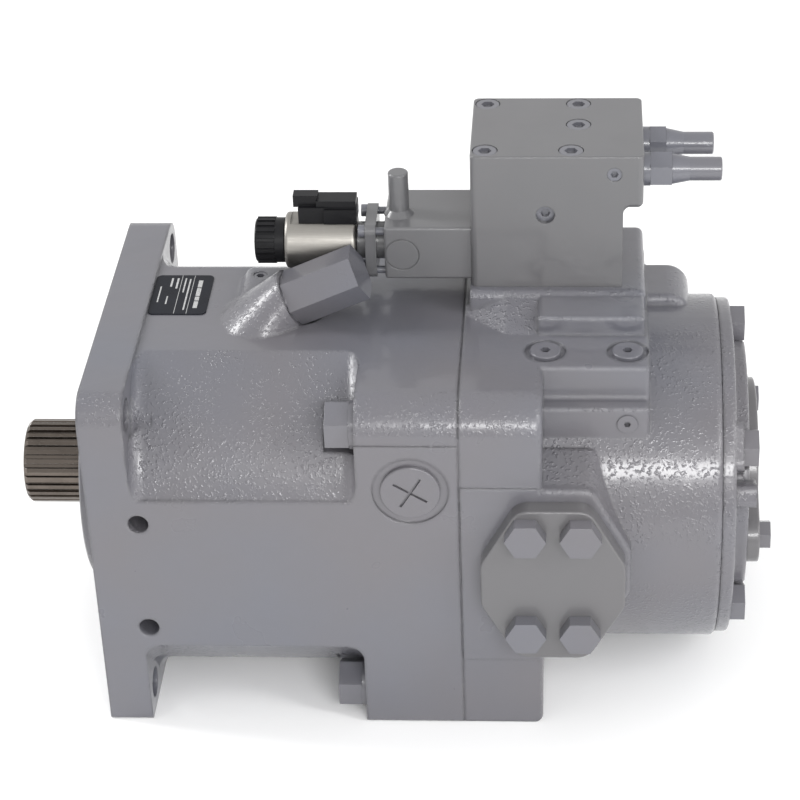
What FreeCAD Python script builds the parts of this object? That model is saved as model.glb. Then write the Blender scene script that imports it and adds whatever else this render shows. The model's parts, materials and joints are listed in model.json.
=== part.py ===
"""Axial piston pump, swashplate type, with control block, adjusters and a solenoid pilot valve.

Millimetres. +X runs along the shaft from its splined end to the rear cover, +Z is up, +Y is the suction side and -Y
the pressure side. The origin is the centre of the pilot on the mounting face. The swashplate stands at zero stroke.
"""

import FreeCAD, Part
import math
import os

from FreeCAD import Vector as V

os.makedirs("parts", exist_ok=True)

# mounting flange, four-bolt SAE J744 165-4
FLANGE_HALF, FLANGE_T, FLANGE_CORNER, FOOT_CORNER = 131.0, 30.0, 19.0, 2.5
PILOT_R, PILOT_H = 82.55, 15.9
FLANGE_BOLT, FLANGE_HOLE_R = 112.25, 11.0

# front housing
BODY_R, BODY_TOP, BODY_SIDE = 140.0, 128.0, 131.0
REAR_FLANGE_X, JOINT_X, FOOT_END = 181.0, 249.0, 304.0
REAR_TOP, REAR_CORNER = 128.0, 28.0
SIDE_PAD_TOP, SIDE_PAD_LOW, SIDE_PAD_BLEND = 55.5, -66.0, 10.0
CAVITY_R, CAVITY_X = 104.0, 54.0
HOUSING_BOLT_Y, HOUSING_BOLT_TOP, HOUSING_BOLT_LOW = 110.0, 104.0, -112.0
SIDE_HOLE_X, SIDE_HOLE_Z, SIDE_HOLE_R = 34.0, (37.0, -49.5), 7.0

# shaft and bearings
SPLINE_TIP, SPLINE_R, SPLINE_ROOT, SPLINE_TEETH = -66.0, 29.8, 27.8, 28
SHAFT_R, JOURNAL_R, SHAFT_END = 30.0, 34.0, 420.0
CARRIER_R, FRONT_SEAT_R, FRONT_X0, FRONT_X1 = 65.0, 37.5, 7.0, 32.0
FRONT_TILT, FRONT_ROLLERS = 12.0, 20
REAR_SEAT_R, REAR_OUT_R, REAR_X0, REAR_X1, REAR_ROLLERS = 25.0, 45.0, 256.0, 276.0, 20
GAP = 0.3

# rotating group: nine pistons
PIVOT_X, PISTONS, PITCH_R, PISTON_R = 112.0, 9, 62.0, 15.45
SWASH_FACE, SWASH_BACK, SWASH_R = 98.0, 84.0, 88.0
BARREL_X0, BARREL_X1, BARREL_R, BORE_END = 156.0, 243.3, 84.0, 230.0
RAIL_Y0, RAIL_Y1, RAIL_R, CRADLE_R, SHELL_R = 48.0, 80.0, 60.0, 63.3, 70.0
ROD_Z, ROD_R = 95.5, 7.0

# port plate and rear end
REAR_R, PLATE_END, CHAMBER_R = 121.0, 424.0, 92.0
PORT_X, PORT_R, PORT_SX, PORT_SZ = 311.0, 19.0, 36.5, 79.4
SUCTION_X, SUCTION_R, SUCTION_SX, SUCTION_SZ, SUCTION_FACE = 333.0, 50.8, 77.8, 130.2, 146.0
PAD_Z = 145.0
BAND_TOP, BAND_LOW, PORT_COVER_Z, SEAM = 67.3, -75.2, -3.0, 0.8
COVER_R, COVER_T, COVER_PCR, COVER_ANGLES = 118.5, 9.0, 103.5, (74.0, 140.0, 213.0, 285.0, 357.0)

# controls
BLOCK_X0, BLOCK_X1, BLOCK_D, BLOCK_TOP = 254.5, 370.5, 90.0, 244.0
ADJ_Z, POWER_Y, PRESSURE_Y = 225.0, 20.0, 58.0
VALVE_Y, VALVE_Z = 30.0, 165.0


def rod(start, axis, length, r):
    return Part.makeCylinder(r, length, V(*start), axis)


def cyl_x(x0, x1, r, y=0.0, z=0.0):
    return rod((x0, y, z), V(1, 0, 0), x1 - x0, r)


def cyl_y(y0, y1, r, x, z):
    return rod((x, y0, z), V(0, 1, 0), y1 - y0, r)


def cyl_z(z0, z1, r, x, y):
    return rod((x, y, z0), V(0, 0, 1), z1 - z0, r)


def ring_x(x0, x1, outer, inner, y=0.0, z=0.0):
    return cyl_x(x0, x1, outer, y, z).cut(cyl_x(x0 - 1, x1 + 1, inner, y, z))


def box(x0, x1, y0, y1, z0, z1):
    return Part.makeBox(x1 - x0, y1 - y0, z1 - z0, V(x0, y0, z0))


def prism(points, along):
    """A straight-sided solid: a closed outline moved along a vector."""
    return Part.Face(Part.makePolygon([V(*p) for p in points + points[:1]])).extrude(V(*along))


def soften(shape, r, keep):
    """Round the edges for which keep(edge) is true."""
    return shape.makeFillet(r, [e for e in shape.Edges if keep(e)])


def runs(edge, axis):
    """True for a straight edge that runs along the named axis."""
    box_of = edge.BoundBox
    size = {"x": box_of.XLength, "y": box_of.YLength, "z": box_of.ZLength}
    return size[axis] > 0.5 and all(v < 1e-4 for k, v in size.items() if k != axis)


def plate_x(x0, x1, y0, y1, z0, z1, corner):
    """A plate across the X axis with rounded corners."""
    return soften(box(x0, x1, y0, y1, z0, z1), corner, lambda e: runs(e, "x"))


def footed_plate(x0, x1, z1, corner):
    """A plate across the X axis that stands on nearly sharp feet and has rounded upper corners."""
    plate = box(x0, x1, -BODY_SIDE, BODY_SIDE, -FLANGE_HALF, z1)
    plate = soften(plate, corner, lambda e: runs(e, "x") and e.BoundBox.ZMin > 0)
    return soften(plate, FOOT_CORNER, lambda e: runs(e, "x") and e.BoundBox.ZMax < 10 - FLANGE_HALF)


def seam(x0, x1):
    """A shallow frame that takes the sharp edge off two plates where they meet."""
    frame = box(x0, x1, -BODY_SIDE - 1, BODY_SIDE + 1, -FLANGE_HALF - 1, REAR_TOP + 1)
    inset = box(x0 - 1, x1 + 1, SEAM - BODY_SIDE, BODY_SIDE - SEAM, SEAM - FLANGE_HALF, REAR_TOP - SEAM)
    return frame.cut(soften(inset, REAR_CORNER - SEAM, lambda e: runs(e, "x") and e.BoundBox.ZMin > 0))


def turned(points):
    """A turned piece on the X axis from its (x, radius) outline."""
    outline = [V(x, 0, r) for x, r in points]
    face = Part.Face(Part.makePolygon(outline + outline[:1]))
    return face.revolve(V(0, 0, 0), V(1, 0, 0), 360)


def hexagon(start, axis, length, across, turn=0.0):
    """A hexagon bar with its far end chamfered like a bolt head."""
    r = across / math.sqrt(3)
    corners = [(r * math.cos(math.radians(60 * k)), r * math.sin(math.radians(60 * k)), 0) for k in range(6)]
    bar = prism(corners, (0, 0, length))
    tip_r = across / 2 * 0.96
    cone = Part.makeCone(r + length, tip_r, length + r - tip_r)
    bar = bar.common(cone)
    bar.rotate(V(0, 0, 0), V(0, 0, 1), turn)
    bar.Placement = FreeCAD.Placement(V(*start), FreeCAD.Rotation(V(0, 0, 1), axis)).multiply(bar.Placement)
    return bar


def hex_bolt(start, axis, across, head, shank_r, shank):
    """A hexagon bolt: the seat of its head is at start and its head points along axis."""
    back = V(axis.x, axis.y, axis.z).multiply(-1)
    return hexagon(start, axis, head, across).fuse(rod(start, back, shank, shank_r))


def cap_screw(start, axis, head_r, head, socket, shank_r, shank):
    """A socket head screw: the seat of its head is at start and its head points along axis."""
    back = V(axis.x, axis.y, axis.z).multiply(-1)
    top = [start[k] + axis[k] * (head - head * 0.5) for k in range(3)]
    screw = rod(start, axis, head, head_r)
    screw = soften(screw, head * 0.08, lambda e: len(e.Vertexes) == 1)
    screw = screw.fuse(rod(start, back, shank, shank_r))
    return screw.cut(hex_socket(top, axis, head, socket))


def hex_socket(start, axis, depth, across):
    r = across / math.sqrt(3)
    corners = [(r * math.cos(math.radians(60 * k)), r * math.sin(math.radians(60 * k)), 0) for k in range(6)]
    bar = prism(corners, (0, 0, depth))
    bar.Placement = FreeCAD.Placement(V(*start), FreeCAD.Rotation(V(0, 0, 1), axis))
    return bar


def spring_x(x0, x1, mean_r, wire_r, turns, y=0.0, z=0.0):
    """A coil spring on a line parallel to the X axis."""
    height = x1 - x0 - 2 * wire_r
    helix = Part.makeHelix(height / turns, height, mean_r)
    profile = Part.Wire(Part.makeCircle(wire_r, V(mean_r, 0, 0), V(0, 1, 0)))
    coil = Part.Wire(helix).makePipeShell([profile], True, True)
    coil.rotate(V(0, 0, 0), V(0, 1, 0), 90)
    coil.translate(V(x0 + wire_r, y, z))
    return coil


def around(shape, count, start=0.0):
    """Copies of a shape spaced evenly about the X axis."""
    copies = []
    for k in range(count):
        one = shape.copy()
        one.rotate(V(0, 0, 0), V(1, 0, 0), start + 360.0 * k / count)
        copies.append(one)
    return copies


def joined(shapes):
    return shapes[0].multiFuse(shapes[1:]).removeSplitter()


def less(shape, cutters):
    return shape.cut(Part.makeCompound(cutters))


def save(name, *shapes):
    whole = shapes[0] if len(shapes) == 1 else Part.makeCompound(list(shapes))
    whole.exportStep(f"parts/{name}.step")


def kidney(x0, x1, side, r0, r1, half_angle):
    """An arc-shaped slot on one side of the X axis: side is +1 for +Y and -1 for -Y."""
    slot = Part.makeCylinder(r1, x1 - x0, V(x0, 0, 0), V(1, 0, 0), 2 * half_angle)
    slot = slot.cut(cyl_x(x0 - 1, x1 + 1, r0))
    middle = slot.Solids[0].CenterOfMass
    slot.rotate(V(0, 0, 0), V(1, 0, 0), -math.degrees(math.atan2(middle.z, middle.y)))
    if side < 0:
        slot.rotate(V(0, 0, 0), V(1, 0, 0), 180)
    return slot


UP, DOWN = V(0, 0, 1), V(0, 0, -1)
REAR, FRONT = V(1, 0, 0), V(-1, 0, 0)
NEAR, FAR = V(0, -1, 0), V(0, 1, 0)

# ------------------------------------------------------------------ front housing
flange = footed_plate(0, FLANGE_T, FLANGE_HALF, FLANGE_CORNER)
barrel_body = cyl_x(FLANGE_T - 5, REAR_FLANGE_X + 5, BODY_R)
barrel_body = barrel_body.common(box(0, JOINT_X, -BODY_SIDE, BODY_SIDE, -BODY_TOP, BODY_TOP))
rear_flange = footed_plate(REAR_FLANGE_X, JOINT_X, REAR_TOP, REAR_CORNER).cut(seam(JOINT_X - SEAM, JOINT_X + 1))
for side in (-1, 1):
    y0, y1 = sorted((side * (BODY_SIDE - 1.0), side * (BODY_SIDE + 1)))
    above_pad = box(REAR_FLANGE_X - 1, JOINT_X + 1, y0, y1, REAR_TOP - REAR_CORNER, REAR_TOP)
    rear_flange = rear_flange.cut(above_pad)
side_pads = []
for side in (-1, 1):
    y0, y1 = sorted((side * 100, side * BODY_SIDE))
    side_pad = box(FLANGE_T - 5, REAR_FLANGE_X + 5, y0, y1, SIDE_PAD_LOW, SIDE_PAD_TOP)
    side_pads.append(soften(side_pad, 1.6, lambda e: runs(e, "x") and abs(e.CenterOfMass.y) > BODY_SIDE - 1))
    corner_z = SIDE_PAD_LOW - SIDE_PAD_BLEND
    for wall_x, inward in ((FLANGE_T, 1), (REAR_FLANGE_X, -1)):
        centre_x = wall_x + inward * SIDE_PAD_BLEND
        x0, x1 = sorted((wall_x, centre_x))
        corner = box(x0, x1, y0, y1, corner_z, SIDE_PAD_LOW + 3)
        side_pads.append(corner.cut(cyl_y(y0 - 1, y1 + 1, SIDE_PAD_BLEND, centre_x, corner_z)))


def frustum(low, low_z, high, high_z):
    """A lump with sloping sides between two rectangles (x0, x1, y0, y1) at two heights."""
    wires = []
    for (x0, x1, y0, y1), z in ((low, low_z), (high, high_z)):
        corners = [V(x0, y0, z), V(x1, y0, z), V(x1, y1, z), V(x0, y1, z)]
        wires.append(Part.makePolygon(corners + corners[:1]))
    return Part.makeLoft(wires, True, True)


# raised seat of the angled stroke stop: a sloping lump with a round collar along the plug
STOP_START, STOP_ANGLE, STOP_LENGTH, STOP_ACROSS = (131.8, -9.0, 140.8), 24.0, 52.0, 34.0
stop_axis = V(math.cos(math.radians(STOP_ANGLE)), 0, math.sin(math.radians(STOP_ANGLE)))
stop_back = V(-stop_axis.x, 0, -stop_axis.z)


def along_stop(distance):
    """A point on the stroke stop's axis, measured outward from the foot of its hexagon."""
    point = V(*STOP_START) + stop_axis * distance
    return [point.x, point.y, point.z]


stop_boss = frustum((78, 134, -52, 52), 108, (97, 131, 6, 40), 139)
stop_boss = soften(stop_boss, 7, lambda e: e.BoundBox.ZMax > 138 and e.BoundBox.XMin < 130)
mound_foot = Part.Ellipse(V(107, 23, 126), V(135, -10, 126), V(107, -10, 126)).toShape()
mound_rim = Part.Circle(V(0, 0, 0), UP, 21.0).toShape()
mound_rim.rotate(V(0, 0, 0), UP, 90)
mound_rim.rotate(V(0, 0, 0), FAR, 90 - STOP_ANGLE)
mound_rim.translate(V(*along_stop(-0.5)))
stop_collar = Part.makeLoft([Part.Wire([mound_foot]), Part.Wire([mound_rim])], True, False)
housing = joined([flange, barrel_body, rear_flange])


def fillet_zone(edge):
    """The curved corners between the round body and the two flanges."""
    b = edge.BoundBox
    at_front = abs(b.XMin - FLANGE_T) < 0.01 and abs(b.XMax - FLANGE_T) < 0.01
    at_rear = abs(b.XMin - REAR_FLANGE_X) < 0.01 and abs(b.XMax - REAR_FLANGE_X) < 0.01
    return (at_front or at_rear) and edge.Curve.TypeId == "Part::GeomCircle" and edge.Curve.Radius > 100


housing = soften(housing, 9, fillet_zone)
housing = joined([housing, stop_boss, stop_collar] + side_pads)
pilot_outline = [(-PILOT_H, 0), (-PILOT_H, PILOT_R - 1), (1 - PILOT_H, PILOT_R), (1, PILOT_R), (1, 0)]
housing = housing.fuse(turned(pilot_outline))

# saddles for the swashplate cradle stand out of the front wall inside the cavity
cavity = cyl_x(CAVITY_X, JOINT_X + 1, CAVITY_R)
saddle_x = PIVOT_X - SHELL_R * math.cos(math.radians(42)) + 0.8
for side in (-1, 1):
    y0, y1 = sorted((side * (RAIL_Y0 - 2), side * (RAIL_Y1 + 2)))
    cavity = cavity.cut(box(CAVITY_X - 1, saddle_x, y0, y1, -47.5, 47.5))
housing = housing.cut(cavity)
cradle_bore = cyl_y(-RAIL_Y1 - 1, -RAIL_Y0 + 1, SHELL_R + 0.05, PIVOT_X, 0).fuse(
    cyl_y(RAIL_Y0 - 1, RAIL_Y1 + 1, SHELL_R + 0.05, PIVOT_X, 0)
)
housing = housing.cut(cradle_bore.common(box(30, CAVITY_X + 20, -90, 90, -60, 60)))
housing = less(
    housing,
    [
        cyl_x(-PILOT_H - 1, FRONT_X1 + 2, CARRIER_R),
        cyl_x(FRONT_X1 + 1, CAVITY_X + 1, 46.0),
        ring_x(-12.6, -10.0, CARRIER_R + 2.2, CARRIER_R - 1),
    ],
)
bolt_spots = [(y, z) for y in (-1, 1) for z in (-1, 1)]
holes = [cyl_x(-1, FLANGE_T + 1, FLANGE_HOLE_R, y * FLANGE_BOLT, z * FLANGE_BOLT) for y, z in bolt_spots]
holes += [cyl_x(FLANGE_T, FLANGE_T + 14, 19.5, y * FLANGE_BOLT, z * FLANGE_BOLT) for y, z in bolt_spots]
housing_bolt_spots = [(y * HOUSING_BOLT_Y, z) for y in (-1, 1) for z in (HOUSING_BOLT_TOP, HOUSING_BOLT_LOW)]
holes += [cyl_x(REAR_FLANGE_X - 1, JOINT_X + 1, 11.0, y, z) for y, z in housing_bolt_spots]
holes += [cyl_x(REAR_FLANGE_X - 22, REAR_FLANGE_X, 21.0, y, z) for y, z in housing_bolt_spots]
for z in SIDE_HOLE_Z:
    holes.append(cyl_y(-BODY_SIDE - 1, -BODY_SIDE + 26, SIDE_HOLE_R, SIDE_HOLE_X, z))
# drain port, bleed port and the angled stroke stop seat
DRAIN_X, DRAIN_Z, DRAIN_R, DRAIN_HEAD, DRAIN_SPOT = 217.0, 64.8, 17.0, 20.0, 25.5
holes.append(cyl_y(-BODY_SIDE - 1, -BODY_SIDE + 1.2, DRAIN_SPOT, DRAIN_X, DRAIN_Z))
holes.append(cyl_y(-BODY_SIDE - 1, -100, DRAIN_R, DRAIN_X, DRAIN_Z))
holes.append(cyl_y(-105, -60, 8.0, DRAIN_X, DRAIN_Z))
BLEED_X, BLEED_Y, BLEED_TOP = 106.0, 26.5, 139.0
holes.append(cyl_z(BLEED_TOP - 12, BLEED_TOP + 1, 5.0, BLEED_X, BLEED_Y))
holes.append(cyl_z(90, BLEED_TOP - 11, 3.0, BLEED_X, BLEED_Y))
holes.append(rod(along_stop(-5.0), stop_axis, 6.0, 17.6))
holes.append(rod(along_stop(-0.4), stop_axis, 60.0, 20.8))
holes.append(rod(along_stop(-5.0), stop_back, 26.0, 11.2))
housing = less(housing, holes)
save("front_housing", housing)

# ------------------------------------------------------------------ port plate with the round rear end
foot = footed_plate(JOINT_X, FOOT_END, REAR_TOP, REAR_CORNER)
foot = soften(foot, 5, lambda e: e.BoundBox.XMin > FOOT_END - 0.01).cut(seam(JOINT_X - 1, JOINT_X + SEAM))
# the near side is machined only in a band around the pressure port; the casting lies 1 mm lower
for z0, z1 in ((BAND_TOP, REAR_TOP), (-FLANGE_HALF - 1, BAND_LOW)):
    foot = foot.cut(box(JOINT_X - 1, FOOT_END + 1, -BODY_SIDE - 1, 1 - BODY_SIDE, z0, z1))
round_end = cyl_x(JOINT_X, PLATE_END, REAR_R)
round_end = soften(round_end, 4, lambda e: e.BoundBox.XMin > PLATE_END - 0.01)
stairs = prism(
    [(290, y, z) for y, z in ((-90, 40), (-90, 104), (-77, 104), (-77, REAR_TOP), (40, REAR_TOP), (40, 40))],
    (84.5, 0, 0),
)
stairs = soften(stairs, 2.5, lambda e: e.BoundBox.YMax < -70 or (runs(e, "z") and e.BoundBox.XMin > 370))
upper_step = soften(box(300, 372, -36, 40, 120, 142), 2.5, lambda e: e.BoundBox.ZMin > 141)
pad = plate_x(BLOCK_X0 - 1, 373, -8, BLOCK_D - 1, 90, PAD_Z, 6)
pad = soften(pad, 5, lambda e: runs(e, "y") and e.BoundBox.XMin > 372 and e.BoundBox.ZMin > PAD_Z - 1)
# the casting slopes up to the control pad from the near side and from the front
slope_wires = []
for x, foot_y, top_z in ((JOINT_X + 1, -14, 131.5), (BLOCK_X0 + 24, -40, 144), (301, -40, 144)):
    slope_wires.append(Part.makePolygon([V(x, foot_y, 126), V(x, -2, top_z), V(x, 4, 100), V(x, foot_y, 126)]))
pad_slope = Part.makeLoft(slope_wires, True, True)
lug = soften(box(360, 405, 18, 66, 80, 127), 16, lambda e: runs(e, "y") and e.BoundBox.XMin > 400)
lug = soften(lug, 5, lambda e: e.BoundBox.ZMin > 126)
far_block = plate_x(290, 374, 30, 100, 0, REAR_TOP, 24)


def octagon(side_x, side_z, top_x, top_z, y0, y1, x, corner):
    """A tall eight-sided pad on the -Y side."""
    quarter = [(side_x, side_z), (top_x, top_z)]
    points = quarter + [(-a, b) for a, b in quarter[::-1]]
    points += [(-a, -b) for a, b in quarter] + [(a, -b) for a, b in quarter[::-1]]
    pad_shape = prism([(x + a, y0, b) for a, b in points], (0, y1 - y0, 0))
    return soften(pad_shape, corner, lambda e: runs(e, "y"))


pressure_boss = octagon(52, 17, 26, 66, -BODY_SIDE, -50, PORT_X, 12)
pressure_boss = soften(pressure_boss, 3, lambda e: e.BoundBox.YMax < -BODY_SIDE + 0.01)
# the casting runs up to the boss in a long slope on its upper side
slope_rings = []
for side_x, side_z, top_x, top_z, y in ((50.5, 17, 25, 64, -BODY_SIDE + 2), (53, 19, 28, 77, -96)):
    half = [(side_x, 0), (side_x, side_z), (top_x, top_z)]
    ring = [V(PORT_X + a, y, b) for a, b in half + [(-a, b) for a, b in half[::-1]]]
    slope_rings.append(Part.makePolygon(ring + ring[:1]))
boss_slope = Part.makeLoft(slope_rings, True, True)
boss_slope = soften(boss_slope, 10, lambda e: e.BoundBox.ZMin > 5 and e.BoundBox.YLength > 30)
suction_boss = soften(
    box(SUCTION_X - 62, SUCTION_X + 62, 50, SUCTION_FACE, -84, 84), 30, lambda e: runs(e, "y")
)
suction_boss = soften(suction_boss, 3, lambda e: e.BoundBox.YMin > SUCTION_FACE - 0.01)
plate = joined(
    [foot, round_end, stairs, upper_step, pad, pad_slope, lug, far_block, pressure_boss, boss_slope, suction_boss]
)
kidneys = [kidney(JOINT_X - 1, 300, -1, 54, 70, 62), kidney(JOINT_X - 1, 275, 1, 54, 70, 62)]
ducts = []
for angle in (-62, 62):
    y, z = 68 * math.cos(math.radians(angle)), 68 * math.sin(math.radians(angle))
    ducts.append(cyl_x(268, 386, 10.5, y, z))
plate = less(
    plate,
    kidneys
    + ducts
    + [
        cyl_x(JOINT_X - 1, REAR_X1, REAR_OUT_R),
        cyl_x(REAR_X1 - 1, 334, 28.0),
        cyl_x(332, 386, 54.0),
        cyl_x(384, PLATE_END + 1, CHAMBER_R),
        cyl_y(-BODY_SIDE - 1, -56, PORT_R, PORT_X, 0),
        cyl_y(50, SUCTION_FACE + 1, SUCTION_R, SUCTION_X, 0),
        cyl_y(-BODY_SIDE - 1, -BODY_SIDE + 2.2, 26.0, PORT_X, 0).cut(
            cyl_y(-BODY_SIDE - 2, -BODY_SIDE + 3, 21.2, PORT_X, 0)
        ),
        cyl_x(JOINT_X - 1, 300, 18.0, 0, ROD_Z),
        cyl_x(JOINT_X - 1, 335, 15.0, 0, -ROD_Z),
    ],
)
port_bolt_spots = [(PORT_X + a * PORT_SX / 2, b * PORT_SZ / 2) for a in (-1, 1) for b in (-1, 1)]
suction_spots = [(SUCTION_X + a * SUCTION_SX / 2, b * SUCTION_SZ / 2) for a in (-1, 1) for b in (-1, 1)]
holes = [cyl_y(-BODY_SIDE - 1, -BODY_SIDE + 30, 7.0, x, z) for x, z in port_bolt_spots]
holes += [cyl_y(SUCTION_FACE - 30, SUCTION_FACE + 1, 7.0, x, z) for x, z in suction_spots]
holes += [cyl_x(JOINT_X - 1, JOINT_X + 36, 8.8, y, z) for y, z in housing_bolt_spots]
GAUGE_X, GAUGE_Y = (305.3, 360.2), -56.0
for x in GAUGE_X:
    holes.append(cyl_z(REAR_TOP - 2, REAR_TOP + 2, 14.0, x, GAUGE_Y))
    holes.append(cyl_z(REAR_TOP - 17, REAR_TOP, 8.6, x, GAUGE_Y))
PILOT_GAUGE_X, PILOT_GAUGE_Z = 359.9, 92.0
holes.append(cyl_y(-91, -78, 6.0, PILOT_GAUGE_X, PILOT_GAUGE_Z))
cover_spots = [
    (COVER_PCR * math.cos(math.radians(a)), COVER_PCR * math.sin(math.radians(a))) for a in COVER_ANGLES
]
LUG_T = 5.0
seat_of = [PLATE_END + COVER_T + (LUG_T if angle == COVER_ANGLES[1] else 0.0) for angle in COVER_ANGLES]
holes += [cyl_x(PLATE_END - 26, PLATE_END + 1, 7.0, y, z) for y, z in cover_spots]
BLOCK_SCREWS = [(264.5, 80.5), (327.0, 80.5), (264.5, 10.0), (322.0, 10.0)]
SHORT_SCREW = (327.0, 48.5)
holes += [cyl_z(PAD_Z - 22, PAD_Z + 1, 4.3, x, y) for x, y in BLOCK_SCREWS]
plate = less(plate, holes)
save("port_plate", plate)

# ------------------------------------------------------------------ rear cover and through-drive cover
cover = joined([cyl_x(PLATE_END, PLATE_END + COVER_T, COVER_R), cyl_x(PLATE_END + COVER_T, 443, 95.0)])
cover = soften(cover, 2.5, lambda e: e.BoundBox.XMin > PLATE_END + COVER_T - 0.01 and len(e.Vertexes) == 1)
cover = less(cover, [cyl_x(seat, 460, 16.5, y, z) for seat, (y, z) in zip(seat_of, cover_spots)])
lug_angle = math.radians(COVER_ANGLES[1])
lug_bar = box(PLATE_END + COVER_T - 1, seat_of[1], -17, 17, 86, 117)
lug_bar = soften(lug_bar, 6, lambda e: runs(e, "x"))
lug_bar.rotate(V(0, 0, 0), V(1, 0, 0), COVER_ANGLES[1] - 90)
side_lug = soften(box(PLATE_END + COVER_T - 1, 447.0, -8, 8, 84, 112), 5, lambda e: runs(e, "x"))
side_lug.rotate(V(0, 0, 0), V(1, 0, 0), COVER_ANGLES[1] - 90 + 17.5)
cover = joined([cover, lug_bar, side_lug])
cover = less(cover, [cyl_x(PLATE_END - 1, 460, 8.8, y, z) for y, z in cover_spots])
cover = cover.cut(cyl_x(PLATE_END + 3, 445, 50.8))
EAR_Y, EAR_Z, EAR_R = 73.0, 9.0, 19.0
ear_spots = [(-EAR_Y, -EAR_Z), (EAR_Y, EAR_Z)]
cover = less(cover, [cyl_x(430, 445, 5.1, y, z) for y, z in ear_spots])
save("rear_cover", cover)
save(
    "rear_cover_bolts",
    *[
        hex_bolt((seat, y, z), REAR, 24.0, 10.0, 7.0, seat - PLATE_END + 22.0)
        for seat, (y, z) in zip(seat_of, cover_spots)
    ],
)
ear_outline = [(443, 40, -30), (443, 76, -9.5), (443, 76, 27), (443, 36, 48)]
drive_cover = joined(
    [cyl_x(443, 451.5, 62.0), cyl_x(436, 444, 50.7)]
    + [cyl_x(443, 451.5, EAR_R, y, z) for y, z in ear_spots]
    + [prism([(x, s * y, s * z) for x, y, z in ear_outline], (8.5, 0, 0)) for s in (-1, 1)]
)
drive_cover = soften(drive_cover, 1.5, lambda e: e.BoundBox.XMin > 451.4)
drive_cover = less(drive_cover, [cyl_x(440, 460, 6.8, y, z) for y, z in ear_spots])
save("drive_cover", drive_cover)
save("drive_cover_bolts", *[hex_bolt((451.5, y, z), REAR, 18.0, 8.0, 5.1, 21.0) for y, z in ear_spots])

# ------------------------------------------------------------------ housing bolts, pressure port cover and plugs
WASHER_T = 3.5
bolt_group = []
for y, z in housing_bolt_spots:
    bolt_group.append(hex_bolt((REAR_FLANGE_X - WASHER_T, y, z), FRONT, 30.0, 16.0, 8.8, 102.0 + WASHER_T))
    bolt_group.append(ring_x(REAR_FLANGE_X - WASHER_T, REAR_FLANGE_X, 16.5, 8.9, y, z))
save("housing_bolts", *bolt_group)
COVER_PLATE_T = 12.3
cover_face = -BODY_SIDE - COVER_PLATE_T
port_cover = octagon(48.2, 17, 24, 60.5, cover_face, -BODY_SIDE, PORT_X, 14).translated(V(0, 0, PORT_COVER_Z))
port_cover = soften(port_cover, 1.5, lambda e: e.BoundBox.YMax < cover_face + 0.01)
port_cover = less(port_cover, [cyl_y(cover_face - 1, -BODY_SIDE + 1, 8.5, x, z) for x, z in port_bolt_spots])
save("port_cover", port_cover)
save(
    "port_cover_bolts",
    *[hex_bolt((x, cover_face, z), NEAR, 24.0, 10.0, 7.0, COVER_PLATE_T + 28.0) for x, z in port_bolt_spots],
)
seal = Part.makeTorus(23.6, 1.05, V(PORT_X, -BODY_SIDE + 1.12, 0), V(0, 1, 0))
save("port_cover_seal", seal)


def socket_plug(start, axis, head_r, head, socket, shank_r, shank):
    """A screw plug with a round head and a hexagon socket."""
    plug = rod(start, axis, head, head_r)
    foot_of = V(*start)
    rim = [e for e in plug.Edges if len(e.Vertexes) == 1 and e.CenterOfMass.distanceToPoint(foot_of) > head * 0.9]
    plug = plug.makeFillet(min(1.0, head * 0.4), rim)
    back = V(axis.x, axis.y, axis.z).multiply(-1)
    plug = plug.fuse(rod(start, back, shank, shank_r))
    inner = [start[k] + axis[k] * (head - 4.0) for k in range(3)]
    return plug.cut(hex_socket(inner, axis, 10.0, socket))


drain = cyl_y(-BODY_SIDE - 1.8, -BODY_SIDE + 1.2, DRAIN_HEAD, DRAIN_X, DRAIN_Z)
drain = soften(drain, 1.2, lambda e: e.BoundBox.YMax < -BODY_SIDE - 1.7)
drain = drain.fuse(cyl_y(-BODY_SIDE, -BODY_SIDE + 16, DRAIN_R - 0.05, DRAIN_X, DRAIN_Z))
slots = []
for turn in (32.0, 122.0):
    slot = box(-13, 13, -BODY_SIDE - 5, -BODY_SIDE + 0.2, -0.9, 0.9)
    slot.rotate(V(0, 0, 0), V(0, 1, 0), turn)
    slot.translate(V(DRAIN_X, 0, DRAIN_Z))
    slots.append(slot)
save("drain_plug", less(drain, slots))
gauge_plugs = [socket_plug((x, GAUGE_Y, REAR_TOP - 2), UP, 10.5, 3.0, 6.0, 8.6, 13.0) for x in GAUGE_X]
gauge_plugs.append(socket_plug((PILOT_GAUGE_X, -90, PILOT_GAUGE_Z), NEAR, 6.9, 0.8, 4.0, 6.0, 10.0))
save("gauge_plugs", *gauge_plugs)
save("bleed_plug", socket_plug((BLEED_X, BLEED_Y, BLEED_TOP - 1.5), UP, 4.95, 1.0, 5.0, 4.9, 9.0))
stop_plug = rod(along_stop(-5.0), stop_back, 20.0, 11.0).fuse(rod(along_stop(-5.0), stop_axis, 5.5, 17.4))
stop_plug = stop_plug.fuse(hexagon(along_stop(0.0), stop_axis, STOP_LENGTH, STOP_ACROSS, 30.0))
save("stroke_stop_plug", stop_plug)
name_plate = soften(box(30.6, 71.0, -10, 43.5, BODY_TOP, BODY_TOP + 0.8), 4.0, lambda e: runs(e, "z"))
save("name_plate", name_plate)

# ------------------------------------------------------------------ shaft seal and front bearing
save("seal_carrier", turned([(-9, 52), (-9, 64.95), (6.5, 64.95), (6.5, 40), (1, 40), (1, 52)]))
lip = [(-9, 51.95), (1, 51.95), (1, 44), (-2, 44), (-2, 38), (0, 36), (-3, 34.3), (-4.5, 38), (-4.5, 44), (-9, 44)]
save("shaft_seal", turned(lip))
carrier_ring = less(ring_x(-12.5, -10.1, CARRIER_R + 2.1, 60.0), [box(-13, -10, -5, 5, -70, -55)])
save("carrier_ring", carrier_ring)

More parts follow.
